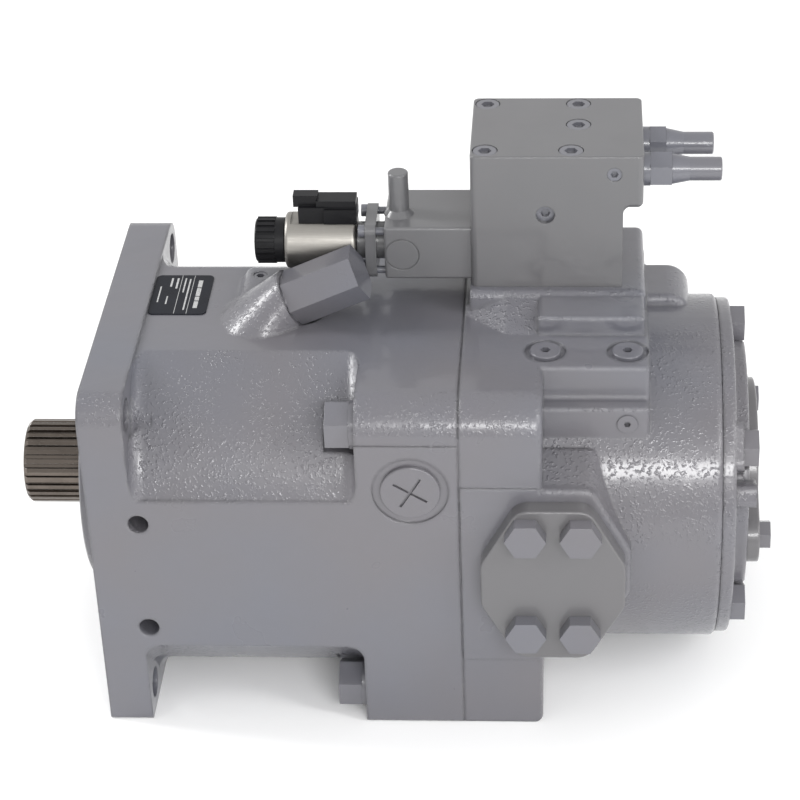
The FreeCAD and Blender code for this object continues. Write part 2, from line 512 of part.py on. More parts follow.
roller_x, roller_y = 20.5, 49.0
tilt = math.radians(FRONT_TILT)
swell = math.radians(2.5)


def raceway(x, side, offset):
    """Radius at x of the line that touches the tapered rollers on one side."""
    x0 = roller_x - side * offset * math.sin(tilt)
    r0 = roller_y + side * offset * math.cos(tilt)
    return r0 + (x - x0) * math.tan(tilt + side * swell)


roller = Part.makeCone(4.6, 5.4, 18.0, V(0, 0, -9.0), V(0, 0, 1))
roller.rotate(V(0, 0, 0), V(0, 1, 0), 90 - FRONT_TILT)
roller.translate(V(roller_x, 0, roller_y))
out_a, out_b = raceway(9, 1, 5.0 + GAP), raceway(FRONT_X1, 1, 5.0 + GAP)
save("front_bearing_outer", turned([(9, out_a), (9, 64.95), (FRONT_X1, 64.95), (FRONT_X1, out_b)]))
in_a, in_b = raceway(FRONT_X0, -1, 5.0 + GAP), raceway(FRONT_X1, -1, 5.0 + GAP)
inner_race = [(FRONT_X0, FRONT_SEAT_R), (FRONT_X0, in_a), (FRONT_X1, in_b), (FRONT_X1, FRONT_SEAT_R)]
save("front_bearing_inner", turned(inner_race))
save("front_bearing_rollers", *around(roller, FRONT_ROLLERS))

# ------------------------------------------------------------------ rear bearing
rear_pitch, rear_roller = 35.0, 4.0
save("rear_bearing_outer", ring_x(REAR_X0, REAR_X1, REAR_OUT_R - 0.02, rear_pitch + rear_roller + GAP))
save("rear_bearing_inner", ring_x(REAR_X0, REAR_X1, rear_pitch - rear_roller - GAP, REAR_SEAT_R))
rear_one = cyl_x(REAR_X0 + 1, REAR_X1 - 1, rear_roller, 0, rear_pitch)
save("rear_bearing_rollers", *around(rear_one, REAR_ROLLERS))

# ------------------------------------------------------------------ drive shaft
shaft = turned(
    [
        (SPLINE_TIP, 0), (SPLINE_TIP, SPLINE_ROOT), (SPLINE_TIP + 2.5, SPLINE_R), (-16, SPLINE_R),
        (-14, JOURNAL_R), (FRONT_X0 - 1, JOURNAL_R), (FRONT_X0 - 1, FRONT_SEAT_R), (FRONT_X1, FRONT_SEAT_R),
        (FRONT_X1, 43), (42, 43), (44, SHAFT_R), (244, SHAFT_R), (244, 28), (REAR_X0, 28), (REAR_X0, REAR_SEAT_R),
        (REAR_X1 + 1, REAR_SEAT_R), (REAR_X1 + 1, 22), (SHAFT_END, 22), (SHAFT_END, 0),
    ]
)
tooth_gap = prism(
    [(SPLINE_TIP - 1, -1.15, SPLINE_ROOT), (SPLINE_TIP - 1, 1.15, SPLINE_ROOT),
     (SPLINE_TIP - 1, 2.0, SPLINE_R + 0.5), (SPLINE_TIP - 1, -2.0, SPLINE_R + 0.5)],
    (-17.0 - SPLINE_TIP, 0, 0),
)
shaft = less(shaft, around(tooth_gap, SPLINE_TEETH) + [Part.makeCone(9.0, 4.0, 5.0, V(SPLINE_TIP, 0, 0), REAR)])
shaft = less(shaft, [cyl_x(SPLINE_TIP - 1, SPLINE_TIP + 30, 6.5), ring_x(416.6, 418.4, 23, 20.5)])
save("drive_shaft", shaft)

# ------------------------------------------------------------------ rotating group
bore = cyl_x(BARREL_X0 - 1, BORE_END, 15.5, 0, PITCH_R)
barrel_port = box(BORE_END - 2, BARREL_X1 + 1, -11, 11, PITCH_R - 6.5, PITCH_R + 6.5)
barrel_port = soften(barrel_port, 6.4, lambda e: runs(e, "x"))
barrel = cyl_x(BARREL_X0, BARREL_X1, BARREL_R)
barrel = soften(barrel, 3, lambda e: e.BoundBox.XMax < BARREL_X0 + 0.01)
barrel = less(barrel, [cyl_x(BARREL_X0 - 1, BARREL_X1 + 1, SHAFT_R), cyl_x(BARREL_X0 - 1, 196, 44.0)])
barrel = less(barrel, around(bore, PISTONS) + around(barrel_port, PISTONS))
save("cylinder_barrel", barrel)
DISC_SPRINGS, DISC_PITCH = 14, 4.8
discs = []
for k in range(DISC_SPRINGS):
    x = 128.4 + k * DISC_PITCH
    lean = 2.2 if k % 2 else 0.0
    inner_x, outer_x = x + lean, x + 2.2 - lean
    discs.append(turned([(inner_x, 32.5), (inner_x + 2.5, 32.5), (outer_x + 2.5, 42.0), (outer_x, 42.0)]))
save("barrel_spring", *discs)

ball = Part.makeSphere(11.5, V(PIVOT_X, 0, PITCH_R))
piston = ball.fuse(
    turned([(118, 0), (118, 8.2), (128, 8.2), (132, PISTON_R), (200, PISTON_R), (200, 0)]).translated(
        V(0, 0, PITCH_R)
    )
)
piston = piston.cut(cyl_x(160, 201, 9.0, 0, PITCH_R)).cut(cyl_x(99, 165, 1.5, 0, PITCH_R))
save("pistons", *around(piston, PISTONS))
slipper = turned([(98.3, 0), (98.3, 19), (102.6, 19), (102.6, 15.4), (116.5, 15.4), (116.5, 0)])
slipper = slipper.translated(V(0, 0, PITCH_R))
slipper = slipper.cut(Part.makeSphere(11.7, V(PIVOT_X, 0, PITCH_R))).cut(cyl_x(97, 102, 2.0, 0, PITCH_R))
slipper = slipper.cut(cyl_x(97, 99.3, 8.5, 0, PITCH_R))
save("slippers", *around(slipper, PISTONS))
retaining = less(ring_x(103.0, 108.0, 84.0, 36.4), around(cyl_x(100, 110, 16.2, 0, PITCH_R), PISTONS))
save("retaining_plate", retaining)
guide = Part.makeSphere(36.0, V(PIVOT_X, 0, 0)).common(cyl_x(97, 128, 40.0)).cut(cyl_x(90, 130, SHAFT_R + 0.05))
save("guide_ball", guide)

plate_kidneys = [kidney(242, 250, side, 55, 69, 60) for side in (-1, 1)]
valve_plate = less(ring_x(BARREL_X1 + 0.3, JOINT_X, 83.0, 46.0), plate_kidneys)
save("valve_plate", valve_plate)

# ------------------------------------------------------------------ swashplate and its cradle
SHAFT_HOLE_R, SHAFT_HOLE_DROP = 36.0, 9.0
swash = cyl_x(SWASH_BACK, SWASH_FACE, SWASH_R)
for side in (-1, 1):
    y0, y1 = sorted((side * RAIL_Y0, side * RAIL_Y1))
    rail = cyl_y(y0, y1, RAIL_R, PIVOT_X, 0).common(box(40, SWASH_BACK + 1, y0, y1, -60, 60))
    swash = swash.fuse(rail)
    z0, z1 = sorted((side * 80.0, side * 97.0))
    swash = swash.fuse(box(SWASH_BACK + 1, SWASH_FACE, -13, 13, z0, z1))
swash = less(
    swash,
    [
        cyl_x(80, 100, SHAFT_HOLE_R),
        cyl_x(80, 100, SHAFT_HOLE_R, 0, -SHAFT_HOLE_DROP),
        box(80, 100, -SHAFT_HOLE_R, SHAFT_HOLE_R, -SHAFT_HOLE_DROP, 0),
    ],
)
save("swash_plate", swash.removeSplitter())


def cradle_arc(r0, r1, half_angle, y0, y1):
    """An arc-shaped strip about the swashplate pivot, centred on its front side."""
    strip = Part.makeCylinder(r1, y1 - y0, V(0, y0, 0), V(0, 1, 0), 2 * half_angle)
    strip = strip.cut(cyl_y(y0 - 1, y1 + 1, r0, 0, 0))
    middle = strip.Solids[0].CenterOfMass
    strip.rotate(V(0, 0, 0), V(0, 1, 0), math.degrees(math.atan2(middle.z, middle.x)) + 180)
    return strip.translated(V(PIVOT_X, 0, 0))


sides = [(-RAIL_Y1, -RAIL_Y0), (RAIL_Y0, RAIL_Y1)]
cradle_rollers, cages = [], []
for y0, y1 in sides:
    pockets = []
    for k in range(-4, 5):
        a = math.radians(7.0 * k)
        x, z = PIVOT_X - CRADLE_R * math.cos(a), CRADLE_R * math.sin(a)
        cradle_rollers.append(cyl_y(y0 + 4, y1 - 4, 3.0, x, z))
        pockets.append(cyl_y(y0 + 3.6, y1 - 3.6, 3.1, x, z))
    cages.append(less(cradle_arc(CRADLE_R - 1.7, CRADLE_R + 1.7, 32.0, y0 + 1, y1 - 1), pockets))
save("cradle_shells", *[cradle_arc(CRADLE_R + 3.3, SHELL_R, 41.5, y0, y1) for y0, y1 in sides])
save("cradle_rollers", *cradle_rollers)
save("cradle_cages", *cages)

# ------------------------------------------------------------------ stroking and counter pistons
def control_piston(head_x0, head_x1, head_r, z):
    """A piston with a long rod that ends in a ball nose against the swashplate's ear."""
    nose_x = SWASH_FACE + GAP + ROD_R
    body = Part.makeSphere(ROD_R, V(nose_x, 0, z)).fuse(cyl_x(nose_x, head_x0 + 1, ROD_R, 0, z))
    return body.fuse(cyl_x(head_x0, head_x1, head_r, 0, z)).removeSplitter()


stroking = control_piston(254, 269, 17.95, ROD_Z)
save("stroking_piston", stroking)
counter = control_piston(282, 298, 14.95, -ROD_Z)
save("counter_piston", counter)
save("counter_spring", spring_x(298.2, 334.8, 10.5, 1.9, 5, 0, -ROD_Z))

# ------------------------------------------------------------------ impeller
impeller = joined([cyl_x(389, 414, 32.0), cyl_x(411, 416, 85.0)])
blade = prism([(392, -2.6, 30), (392, 2.6, 30), (392, 20.6, 83), (392, 15.4, 83)], (20, 0, 0))
impeller = joined([impeller] + around(blade, 8)).cut(cyl_x(380, 420, 22.0))
save("impeller", impeller)
impeller_ring = less(ring_x(416.7, 418.3, 26.5, 20.6), [box(416, 419, -3, 3, -30, -18)])
save("impeller_ring", impeller_ring)

# ------------------------------------------------------------------ control block
block = box(BLOCK_X0, BLOCK_X1, 0, BLOCK_D, PAD_Z, BLOCK_TOP).cut(box(357, 400, -5, 100, 100, 205))
block = soften(block, 4.0, lambda e: runs(e, "z") and e.BoundBox.ZMax > 210)
block = soften(block, 4.0, lambda e: runs(e, "y") and 150 < e.BoundBox.ZMin and e.BoundBox.ZMax < 210)
block = soften(block, 1.2, lambda e: e.BoundBox.ZMin > BLOCK_TOP - 0.01)
cuts = [cyl_z(PAD_Z - 1, BLOCK_TOP + 1, 5.2, x, y) for x, y in BLOCK_SCREWS]
cuts += [cyl_z(BLOCK_TOP - 6.5, BLOCK_TOP + 1, 8.6, x, y) for x, y in BLOCK_SCREWS + [SHORT_SCREW]]
cuts.append(cyl_z(BLOCK_TOP - 14.5, BLOCK_TOP, 4.35, *SHORT_SCREW))
BLOCK_PLUGS = [(304.8, 200.3, 6.4, 3.5), (350.9, 230.7, 5.0, 0.6)]
for x, z, r, sink in BLOCK_PLUGS:
    cuts.append(cyl_y(-1, sink + 8, r, x, z))
SPOOL_X0, SPOOL_X1, SPOOL_R, COLLAR_R = 292.0, 344.0, 6.0, 8.0
cuts.append(cyl_x(286, BLOCK_X1, SPOOL_R, PRESSURE_Y, ADJ_Z))
cuts.append(cyl_x(BLOCK_X1 - 7, BLOCK_X1 + 1, COLLAR_R, PRESSURE_Y, ADJ_Z))
cuts.append(cyl_x(340, BLOCK_X1 + 1, COLLAR_R, POWER_Y, ADJ_Z))
cuts.append(cyl_x(BLOCK_X0 - 1, 300, 4.0, VALVE_Y, VALVE_Z))
cuts.append(cyl_z(PAD_Z - 1, 222, 3.0, 300, PRESSURE_Y))
save("control_block", less(block, cuts))
block_screws = [cap_screw((x, y, BLOCK_TOP - 6.5), UP, 8.2, 6.2, 8.0, 4.25, 112.0) for x, y in BLOCK_SCREWS]
block_screws.append(cap_screw((*SHORT_SCREW, BLOCK_TOP - 6.5), UP, 8.2, 6.2, 8.0, 4.25, 7.5))
save("block_screws", *block_screws)
plugs = []
for x, z, r, sink in BLOCK_PLUGS:
    plugs.append(cyl_y(sink, sink + 8, r, x, z).cut(hex_socket((x, sink + 3, z), NEAR, 5.0, r * 0.9)))
save("block_plugs", *plugs)
spool = joined(
    [cyl_x(SPOOL_X0, SPOOL_X1, 3.6, PRESSURE_Y, ADJ_Z)]
    + [cyl_x(x, x + 10, SPOOL_R - 0.03, PRESSURE_Y, ADJ_Z) for x in (SPOOL_X0, 313.0, SPOOL_X1 - 10)]
)
save("control_spool", spool)
save("control_spring", spring_x(SPOOL_X1 + 0.2, 364.3, 4.4, 1.0, 5, PRESSURE_Y, ADJ_Z))

# ------------------------------------------------------------------ adjusters
adjusters = [(PRESSURE_Y, 375.5, 386.5, 419.0, 22.0), (POWER_Y, 375.0, 389.5, 423.0, 22.0)]
collars, nuts, caps, screws = [], [], [], []
for y, nut_x, cap_x, end_x, across in adjusters:
    thread = cyl_x(BLOCK_X1 - 6, nut_x - 0.5, 7.95, y, ADJ_Z).fuse(cyl_x(BLOCK_X1, nut_x, 11.4, y, ADJ_Z))
    thread = thread.fuse(cyl_x(nut_x - 1, cap_x, 7.4, y, ADJ_Z))
    collars.append(thread.cut(cyl_x(360, 430, 4.05, y, ADJ_Z)))
    nuts.append(hexagon((nut_x, y, ADJ_Z), REAR, cap_x - nut_x, across).cut(cyl_x(370, 430, 7.4, y, ADJ_Z)))
    screws.append(cyl_x(365.0, end_x - 4.0, 4.0, y, ADJ_Z))
upper_cap = turned([(386.5, 0), (386.5, 10.4), (398.5, 7.8), (418.2, 7.8), (419.0, 7.0), (419.0, 0)])
lower_cap = turned([(389.5, 0), (389.5, 10.4), (401.5, 8.1), (422.2, 8.1), (423.0, 7.3), (423.0, 0)])
for cap, (y, nut_x, cap_x, end_x, across) in zip((upper_cap, lower_cap), adjusters):
    caps.append(cap.translated(V(0, y, ADJ_Z)).cut(cyl_x(380, end_x - 2.5, 5.0, y, ADJ_Z)))
save("adjuster_collars", *collars)
save("adjuster_nuts", *nuts)
save("adjuster_caps", *caps)
for name, (y, nut_x, cap_x, end_x, across), screw in zip(("pressure_screw", "power_screw"), adjusters, screws):
    save(name, screw.cut(box(end_x - 6.0, end_x, y - 5, y + 5, ADJ_Z - 0.6, ADJ_Z + 0.6)))

# ------------------------------------------------------------------ pilot valve and solenoid
pilot_housing = box(195.0, BLOCK_X0, 5, 62, 148, 187.8)
pilot_housing = soften(pilot_housing, 2.0, lambda e: runs(e, "x") or e.BoundBox.XMax < 195.01)
PIN_X, PIN_Y = 204.6, 27.0
pin = cyl_z(180, 219.4, 7.0, PIN_X, PIN_Y).fuse(Part.makeCone(10.5, 7.0, 4.0, V(PIN_X, PIN_Y, 187.6), UP))
pin = soften(pin, 1.5, lambda e: e.BoundBox.ZMin > 219.3)
pilot_housing = pilot_housing.fuse(pin)
mark = cyl_y(4, 5.5, 11.9, 207.0, 167.0).cut(cyl_y(3, 6, 11.2, 207.0, 167.0))
TUBE_FACE, FLANGE_FACE = 195.0, 189.0
valve_spots = [(VALVE_Y + a * 15.0, VALVE_Z + b * 15.0) for a in (-1, 1) for b in (-1, 1)]
pilot_housing = less(
    pilot_housing,
    [mark, cyl_x(190, BLOCK_X0 + 1, 6.0, VALVE_Y, VALVE_Z)] + [cyl_x(190, 208, 2.6, y, z) for y, z in valve_spots],
)
save("pilot_housing", pilot_housing)
pilot_lands = [cyl_x(x, x + 8, 5.96, VALVE_Y, VALVE_Z) for x in (206.0, 222.0, 238.0)]
save("pilot_spool", joined([cyl_x(206, 246, 3.5, VALVE_Y, VALVE_Z)] + pilot_lands))
flange_plate = plate_x(181.5, FLANGE_FACE, VALVE_Y - 20, VALVE_Y + 20, VALVE_Z - 20, VALVE_Z + 20, 5)
flange_plate = flange_plate.cut(cyl_x(170, 200, 13.0, VALVE_Y, VALVE_Z))
flange_plate = less(flange_plate, [cyl_x(170, 200, 2.7, y, z) for y, z in valve_spots])
save("solenoid_flange", flange_plate)
save(
    "solenoid_screws",
    *[cap_screw((181.5, y, z), FRONT, 4.3, 4.6, 4.0, 2.6, 24.0) for y, z in valve_spots],
)
tube = joined(
    [
        cyl_x(128, 176, 9.5, VALVE_Y, VALVE_Z),
        cyl_x(175.4, TUBE_FACE, 12.9, VALVE_Y, VALVE_Z),
        cyl_x(107, 129, 6.0, VALVE_Y, VALVE_Z),
    ]
)
tube = less(tube, [cyl_x(134, 178, 7.0, VALVE_Y, VALVE_Z), cyl_x(176, 196, 3.0, VALVE_Y, VALVE_Z)])
save("solenoid_tube", tube)
coil = soften(cyl_x(125.6, 174.8, 19.5, VALVE_Y, VALVE_Z), 2.5, lambda e: len(e.Vertexes) == 1)
coil = coil.cut(cyl_x(120, 180, 9.55, VALVE_Y, VALVE_Z))
coil = coil.cut(box(130, 180, VALVE_Y - 30, VALVE_Y + 30, VALVE_Z + 17.2, VALVE_Z + 30))
save("solenoid_coil", coil)
base_z = VALVE_Z + 17.3
connector = joined(
    [
        box(135.5, 154, VALVE_Y - 8.2, VALVE_Y + 8.2, base_z, 194.0),
        box(153, 175.6, VALVE_Y - 9.6, VALVE_Y + 9.6, base_z, 193.0),
        box(148, 175.2, VALVE_Y - 7.0, VALVE_Y + 7.0, 192, 198.5),
        box(132, 149, VALVE_Y - 4.5, VALVE_Y + 4.5, 193, 201.5),
    ]
)
connector = connector.cut(box(130, 150, VALVE_Y - 6.2, VALVE_Y + 6.2, base_z + 2.2, 192.0))
contacts = [cyl_x(138, 152, 1.2, VALVE_Y + s * 3.0, 188.3) for s in (-1, 1)]
save("solenoid_connector", joined([connector] + contacts))
ribs = around(box(106, 118.5, -1.3, 1.3, 14.4, 16.2), 20)
nut = joined([cyl_x(104.6, 124.9, 15.0)]).cut(cyl_x(106.6, 126, 6.05))
nut = soften(nut, 1.5, lambda e: e.BoundBox.XMax < 104.7 and len(e.Vertexes) == 1 and e.Curve.Radius > 10)
nut = joined([nut, ring_x(118.5, 124.9, 15.6, 10)] + ribs)
save("coil_nut", nut.translated(V(0, VALVE_Y, VALVE_Z)))
armature = joined([cyl_x(138, 162, 6.95, VALVE_Y, VALVE_Z), cyl_x(161, 205.7, 2.5, VALVE_Y, VALVE_Z)])
save("armature", armature)
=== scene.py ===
"""Looks of an axial piston pump: finishes, springs in place of their nodes, plate print, light, camera."""

import json
import math

import bmesh
import bpy
from mathutils import Matrix, Vector


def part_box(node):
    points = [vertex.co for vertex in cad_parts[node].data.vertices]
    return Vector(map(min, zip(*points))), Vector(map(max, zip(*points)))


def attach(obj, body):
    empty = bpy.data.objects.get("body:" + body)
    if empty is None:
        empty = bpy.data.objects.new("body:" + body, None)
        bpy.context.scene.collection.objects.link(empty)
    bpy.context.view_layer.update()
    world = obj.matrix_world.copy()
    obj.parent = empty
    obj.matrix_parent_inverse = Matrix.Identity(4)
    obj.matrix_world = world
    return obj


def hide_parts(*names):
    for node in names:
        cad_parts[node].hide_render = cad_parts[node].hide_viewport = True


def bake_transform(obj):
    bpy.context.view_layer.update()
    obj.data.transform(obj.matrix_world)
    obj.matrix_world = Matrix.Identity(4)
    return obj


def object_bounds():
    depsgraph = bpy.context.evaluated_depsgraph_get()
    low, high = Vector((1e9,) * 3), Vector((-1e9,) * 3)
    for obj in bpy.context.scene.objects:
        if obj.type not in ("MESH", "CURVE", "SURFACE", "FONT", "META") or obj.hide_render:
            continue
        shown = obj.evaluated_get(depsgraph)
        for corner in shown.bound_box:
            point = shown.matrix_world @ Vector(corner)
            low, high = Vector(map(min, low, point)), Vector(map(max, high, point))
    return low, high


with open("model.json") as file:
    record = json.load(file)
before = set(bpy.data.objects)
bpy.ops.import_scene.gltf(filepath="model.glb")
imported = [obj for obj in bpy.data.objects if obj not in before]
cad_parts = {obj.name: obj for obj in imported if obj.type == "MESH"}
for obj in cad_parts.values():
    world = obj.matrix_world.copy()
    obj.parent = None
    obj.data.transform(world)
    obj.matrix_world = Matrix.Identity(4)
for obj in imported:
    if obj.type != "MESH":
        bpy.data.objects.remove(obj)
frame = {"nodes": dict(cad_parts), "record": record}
cad_low, cad_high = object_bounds()
nodes = frame["nodes"]

MM = 0.001
WHITE = (1.0, 1.0, 1.0, 1.0)


# ---------------------------------------------------------------- node helpers

BEVEL_SAMPLES = 3


class Tree:
    """A material's node tree with short calls for the nodes used here."""

    def __init__(self, name):
        self.material = bpy.data.materials.new(name)
        self.material.use_nodes = True
        self.tree = self.material.node_tree
        self.tree.nodes.clear()
        self.output = self.tree.nodes.new("ShaderNodeOutputMaterial")
        self.shader = self.tree.nodes.new("ShaderNodeBsdfPrincipled")
        self.tree.links.new(self.shader.outputs[0], self.output.inputs[0])
        self.place = self.tree.nodes.new("ShaderNodeTexCoord").outputs["Object"]

    def node(self, kind, **inputs):
        """A node with inputs given by name, each a value or another node's output."""
        made = self.tree.nodes.new(kind)
        for key, value in inputs.items():
            self.feed(made.inputs[key.replace("_", " ")], value)
        return made

    def feed(self, socket, value):
        """Links an output to the socket, or stores a plain value in it."""
        if isinstance(value, bpy.types.NodeSocket):
            self.tree.links.new(value, socket)
        else:
            socket.default_value = value

    def scaled(self, vector, factors):
        """The coordinate stretched by one factor per axis."""
        made = self.tree.nodes.new("ShaderNodeMapping")
        self.feed(made.inputs["Vector"], vector)
        made.inputs["Scale"].default_value = factors
        return made.outputs[0]

    def noise(self, scale, detail=2.0, rough=0.5, vector=None):
        """Cloudy noise around one half, scale features per metre."""
        made = self.node("ShaderNodeTexNoise", Scale=scale, Detail=detail, Roughness=rough)
        self.feed(made.inputs["Vector"], vector or self.place)
        return made.outputs[0]

    def math(self, operation, first, second=0.0, clamp=False):
        """One arithmetic step on one or two values."""
        made = self.tree.nodes.new("ShaderNodeMath")
        made.operation = operation
        made.use_clamp = clamp
        for socket, value in zip(made.inputs, (first, second)):
            self.feed(socket, value)
        return made.outputs[0]

    def remap(self, value, low, high, to_low=0.0, to_high=1.0, smooth=False):
        """Moves the range low to high onto to_low to to_high, held at its ends."""
        made = self.tree.nodes.new("ShaderNodeMapRange")
        made.interpolation_type = "SMOOTHSTEP" if smooth else "LINEAR"
        for socket, item in zip(made.inputs, (value, low, high, to_low, to_high)):
            self.feed(socket, item)
        return made.outputs[0]

    def mix(self, factor, first, second):
        """From the first colour to the second as the factor goes from 0 to 1."""
        made = self.tree.nodes.new("ShaderNodeMix")
        made.data_type = "RGBA"
        self.feed(made.inputs[0], factor)
        self.feed(made.inputs[6], first)
        self.feed(made.inputs[7], second)
        return made.outputs[2]

    def normal_part(self, axis):
        """Absolute part of the object normal along one axis."""
        apart = self.tree.nodes.new("ShaderNodeSeparateXYZ")
        source = self.tree.nodes.new("ShaderNodeTexCoord").outputs["Normal"]
        self.tree.links.new(source, apart.inputs[0])
        return self.math("ABSOLUTE", apart.outputs[axis])

    def bump(self, height, distance, normal=None):
        """A surface normal for relief of this depth."""
        made = self.node("ShaderNodeBump", Strength=1.0, Distance=distance, Height=height)
        if normal is not None:
            self.feed(made.inputs["Normal"], normal)
        return made.outputs[0]

    def rounded(self, radius):
        made = self.node("ShaderNodeBevel", Radius=radius)
        made.samples = BEVEL_SAMPLES
        return made.outputs[0]

    def set(self, **values):
        """Feeds inputs of the surface shader by name."""
        for key, value in values.items():
            self.feed(self.shader.inputs[key.replace("_", " ")], value)


def grey(level):
    """An opaque neutral grey."""
    return (level, level, level, 1.0)


def edge_mask(t, soft_normal, gain):
    """0 on open faces, rising to 1 where the rounded normal leaves the flat one."""
    true_normal = t.tree.nodes.new("ShaderNodeNewGeometry").outputs["Normal"]
    dot = t.tree.nodes.new("ShaderNodeVectorMath")
    dot.operation = "DOT_PRODUCT"
    t.feed(dot.inputs[0], soft_normal)
    t.feed(dot.inputs[1], true_normal)
    lean = t.math("SUBTRACT", 1.0, dot.outputs["Value"])
    return t.math("MULTIPLY", lean, gain, clamp=True)


# enamel patterns, in features per metre
TINT_DRIFT, BLOTCHES, CHIPS, SHEEN = 7.0, 60.0, 140.0, 25.0
LUMPS, LUMP_PATCHES, SAGS, DUST = 420.0, 22.0, 45.0, 900.0
# parts of the noise that show, and the strength that they get
TINT_BAND = (0.35, 0.65)
BLOTCH_BAND = (0.3, 0.75, 0.0, 0.16)
CHIP_BAND = (0.42, 0.62, 0.1, 0.45)
LUMP_BAND = (0.50, 0.74)
PATCH_BAND = (0.42, 0.62, 0.30, 1.0)
SAG_CAST, SAG_SMOOTH, DUST_SHARE = 0.55, 0.12, 0.03
PAINT_WEAR = 1.6
ENAMEL_IOR, COAT_WEIGHT, COAT_ROUGH = 1.5, 0.55, 0.09
# a face this close to an axis direction counts as machined and shows next to no casting
MACHINED_FROM, MACHINED_TO, MACHINED_RELIEF = 0.985, 0.9995, 0.05
RELIEF_DEPTH = 0.48 * MM
CAST_COOL, CAST_WARM = (0.113, 0.116, 0.137, 1), (0.119, 0.114, 0.126, 1)
SMOOTH_COOL, SMOOTH_WARM = (0.101, 0.101, 0.106, 1), (0.104, 0.100, 0.105, 1)
BLOTCH_TONE, CHIP_TONE = 0.11, 0.30


def paint(name, cast, edge, rough=0.30, cool=CAST_COOL, warm=CAST_WARM):
    """Gloss grey enamel. cast is how strongly the sand casting shows through."""
    t = Tree(name)
    soft = t.rounded(edge)
    colour = t.mix(t.remap(t.noise(TINT_DRIFT), *TINT_BAND), cool, warm)
    blotch = t.remap(t.noise(BLOTCHES, 4.0, 0.6), *BLOTCH_BAND)
    colour = t.mix(blotch, colour, grey(BLOTCH_TONE))
    chips = t.remap(t.noise(CHIPS, 4.0, 0.7), *CHIP_BAND)
    worn = t.math("MULTIPLY", edge_mask(t, soft, PAINT_WEAR), chips)
    colour = t.mix(worn, colour, grey(CHIP_TONE))
    facing = t.math("MAXIMUM", t.normal_part(0), t.math("MAXIMUM", t.normal_part(1), t.normal_part(2)))
    cast_zone = t.remap(facing, MACHINED_FROM, MACHINED_TO, 1.0, MACHINED_RELIEF)
    lumps = t.remap(t.noise(LUMPS), *LUMP_BAND, smooth=True)
    patches = t.remap(t.noise(LUMP_PATCHES), *PATCH_BAND)
    relief = t.math("MULTIPLY", lumps, patches)
    relief = t.math("MULTIPLY", relief, t.math("MULTIPLY", cast_zone, cast))
    relief = t.math("ADD", relief, t.math("MULTIPLY", t.noise(SAGS), SAG_CAST * cast + SAG_SMOOTH))
    relief = t.math("ADD", relief, t.math("MULTIPLY", t.noise(DUST, 1.0), DUST_SHARE))
    uneven = t.bump(relief, RELIEF_DEPTH, soft)
    shine = t.remap(t.noise(SHEEN, 3.0), 0.3, 0.7, rough - 0.04, rough + 0.07)
    t.set(Base_Color=colour, Roughness=shine, IOR=ENAMEL_IOR, Normal=uneven)
    t.set(Coat_Weight=COAT_WEIGHT, Coat_Roughness=COAT_ROUGH, Coat_Normal=uneven)
    return t.material


# bare metal and plastic patterns, in features per metre
TOOL_MARKS, OIL_FILM, HAZE = 900.0, 55.0, 70.0
TOOL_MARK_DEPTH, MOULD_GRAIN_DEPTH = 0.04 * MM, 0.05 * MM
STEEL_WEAR, STEEL_WEAR_SHARE, WORN_EDGE_TONE = 1.8, 0.5, 0.75
DULL_SHARE, MARK_SHARE = 0.55, 0.22
PLASTIC_WEAR, PLASTIC_WEAR_SHARE, PLASTIC_HAZE = 1.5, 0.5, 0.35
PALE_GAIN, PALE_LIFT = 1.9, 0.004


def steel(name, colour, rough, metallic=1.0, grain=(1.0, 1.0, 1.0), edge=0.3 * MM, stain=0.3):
    """Turned, ground or cast steel with tool marks stretched by grain and dull stains."""
    t = Tree(name)
    soft = t.rounded(edge)
    marks = t.noise(TOOL_MARKS, 4.0, 0.65, t.scaled(t.place, grain))
    film = t.noise(OIL_FILM, 4.0, 0.6)
    dull = tuple(DULL_SHARE * part for part in colour[:3]) + (1.0,)
    tone = t.mix(t.remap(film, 0.4, 0.7, 0.0, stain), colour, dull)
    tone = t.mix(t.remap(marks, 0.3, 0.7, 0.0, MARK_SHARE), tone, dull)
    bright = t.math("MULTIPLY", edge_mask(t, soft, STEEL_WEAR), STEEL_WEAR_SHARE)
    tone = t.mix(bright, tone, grey(WORN_EDGE_TONE))
    t.set(Base_Color=tone, Metallic=metallic)
    t.set(Roughness=t.remap(t.math("ADD", marks, film), 0.6, 1.4, rough - 0.07, rough + 0.12))
    t.set(Normal=t.bump(marks, TOOL_MARK_DEPTH, soft))
    return t.material


def polymer(name, colour, rough, edge=0.5 * MM, grain=700.0, gloss=0.25):
    """Moulded plastic or rubber with a fine matt grain."""
    t = Tree(name)
    soft = t.rounded(edge)
    speck = t.noise(grain, 3.0, 0.6)
    haze = t.noise(HAZE, 3.0)
    light = tuple(min(1.0, PALE_GAIN * part + PALE_LIFT) for part in colour[:3]) + (1.0,)
    tone = t.mix(t.remap(haze, 0.35, 0.75, 0.0, PLASTIC_HAZE), colour, light)
    worn = t.math("MULTIPLY", edge_mask(t, soft, PLASTIC_WEAR), PLASTIC_WEAR_SHARE)
    tone = t.mix(worn, tone, light)
    t.set(Base_Color=tone, Roughness=t.remap(haze, 0.3, 0.7, rough - 0.06, rough + 0.08))
    t.set(Specular_IOR_Level=gloss)
    t.set(Normal=t.bump(speck, MOULD_GRAIN_DEPTH, soft))
    return t.material


# ---------------------------------------------------------------- finishes by material slot

# grain factors that draw the tool marks out along X
DRAWN, TURNED, GROUND, ROLLED = (0.08, 1.0, 1.0), (0.3, 1.0, 1.0), (0.2, 1.0, 1.0), (0.06, 1.0, 1.0)
SHAFT_TONE, ZINC_TONE = (0.150, 0.128, 0.111, 1), (0.36, 0.345, 0.32, 1)

